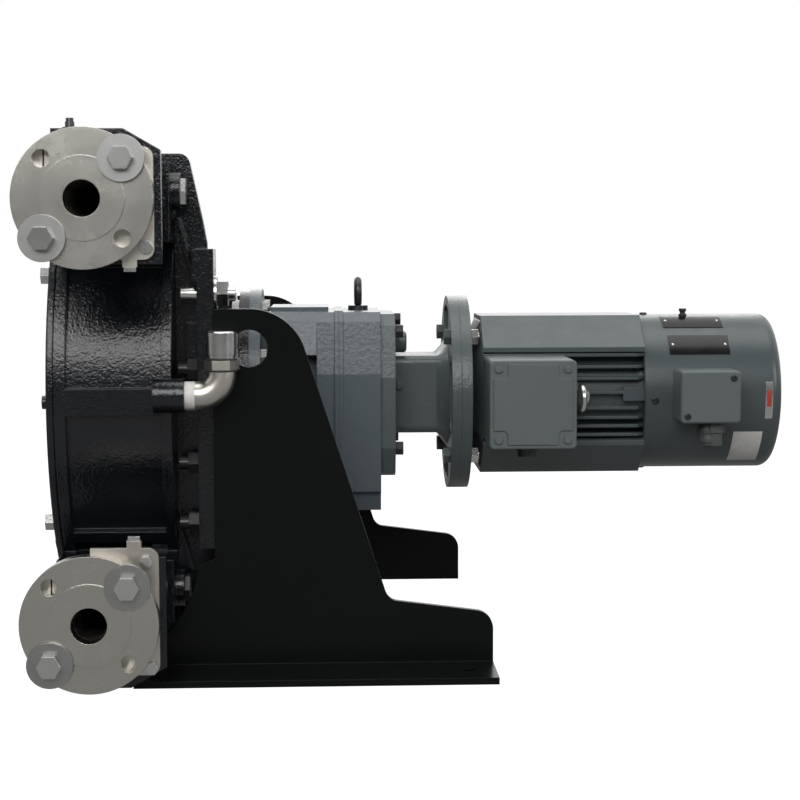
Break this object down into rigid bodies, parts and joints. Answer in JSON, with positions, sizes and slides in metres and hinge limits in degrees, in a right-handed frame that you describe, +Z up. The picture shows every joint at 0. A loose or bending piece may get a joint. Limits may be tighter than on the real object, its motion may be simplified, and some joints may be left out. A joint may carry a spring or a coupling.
{
  "type": "hose pump with geared motor",
  "caption": "Flanged peristaltic hose pump head on folded side plates, with a pressing-shoe rotor, helical gear unit, lantern and force-cooled motor.",
  "frame": {"origin": "on the floor at the centre of the four foot holes", "axes": "+X along the shafts from the pump head to the motor, -Y out of the two ports, +Z up"},
  "size_m": [0.93, 0.8215, 0.6247],
  "materials": {
    "cast_black": "glossy black enamel over a rough casting",
    "plate_black": "satin black powder coat",
    "stainless": "fine turned stainless steel",
    "zinc": "bright zinc plate",
    "gear_grey": "blue-grey satin paint",
    "motor_grey": "dark grey satin paint",
    "box_grey": "mid grey satin paint",
    "rotor_iron": "machined cast iron",
    "shoe_alloy": "machined aluminium",
    "machined_steel": "ground steel",
    "black_bolt": "black oxide",
    "hose_rubber": "smooth reinforced rubber",
    "seal_rubber": "nitrile rubber",
    "clear_window": "clear polycarbonate",
    "white_nylon": "white nylon",
    "black_plastic": "black moulded plastic",
    "spider_red": "red elastomer",
    "winding": "varnished copper windings"
  },
  "bodies": {
    "root": {"pump_housing": "cast_black", "front_cover": "cast_black", "cover_seal": "seal_rubber", "cover_window": "clear_window", "window_ring": "stainless", "cover_bolts": "zinc", "pump_hose": "hose_rubber", "shaft_seal": "seal_rubber", "pump_bearings": "machined_steel", "port_flanges": "stainless", "hose_inserts": "stainless", "port_brackets": "stainless", "bracket_bolts": "zinc", "transit_washers": "zinc", "transit_bolts": "zinc", "breather_collar": "white_nylon", "breather_elbow": "stainless", "breather_nut": "stainless", "breather_cap": "zinc", "near_side_plate": "plate_black", "far_side_plate": "plate_black", "plate_bolts": "zinc", "drain_plug": "zinc", "gear_housing": "gear_grey", "gear_cover": "gear_grey", "gear_bearings": "machined_steel", "gear_flange_bolts": "zinc", "gear_eyebolt": "black_bolt", "motor_adapter": "gear_grey", "gear_case_bolts": "black_bolt", "oil_plugs": "gear_grey", "motor_flange": "gear_grey", "flange_nuts": "zinc", "motor_frame": "motor_grey", "stator": "winding", "motor_bearings": "machined_steel", "rear_end_shield": "motor_grey", "terminal_box": "box_grey", "terminal_lid": "box_grey", "box_screws": "black_bolt", "cable_glands": "black_plastic", "motor_eyebolt": "zinc", "fan_cowl": "motor_grey", "fan_motor": "motor_grey", "fan_terminal_box": "box_grey"},
    "rotor": {"rotor": "rotor_iron", "rotor_key": "machined_steel", "rotor_shoes": "shoe_alloy", "shoe_shims": "machined_steel", "rotor_bolts": "zinc", "rotor_retainer": "machined_steel", "output_shaft": "machined_steel", "output_gear": "machined_steel"},
    "layshaft": {"intermediate_shaft": "machined_steel", "intermediate_gear": "machined_steel"},
    "drive_line": {"input_pinion": "machined_steel", "coupling_halves": "shoe_alloy", "coupling_spider": "spider_red", "motor_rotor": "machined_steel"},
    "fan": {"fan_wheel": "black_plastic"}
  },
  "joints": [
    {"name": "rotor_spin", "type": "hinge", "parent": "root", "child": "rotor", "pos_m": [-0.248, 0, 0.3165], "axis": [1, 0, 0], "continuous": true, "deforming": ["pump_hose"]},
    {"name": "layshaft_spin", "type": "hinge", "parent": "root", "child": "layshaft", "pos_m": [0.03, 0, 0.2325], "axis": [1, 0, 0], "continuous": true},
    {"name": "motor_spin", "type": "hinge", "parent": "root", "child": "drive_line", "pos_m": [0.3, 0, 0.3045], "axis": [1, 0, 0], "continuous": true},
    {"name": "fan_spin", "type": "hinge", "parent": "root", "child": "fan", "pos_m": [0.465, 0, 0.3045], "axis": [1, 0, 0], "continuous": true}
  ],
  "couplings": [
    {"joint": "layshaft_spin", "follows": "rotor_spin", "ratio": -3.6667},
    {"joint": "motor_spin", "follows": "rotor_spin", "ratio": 18.333}
  ]
}
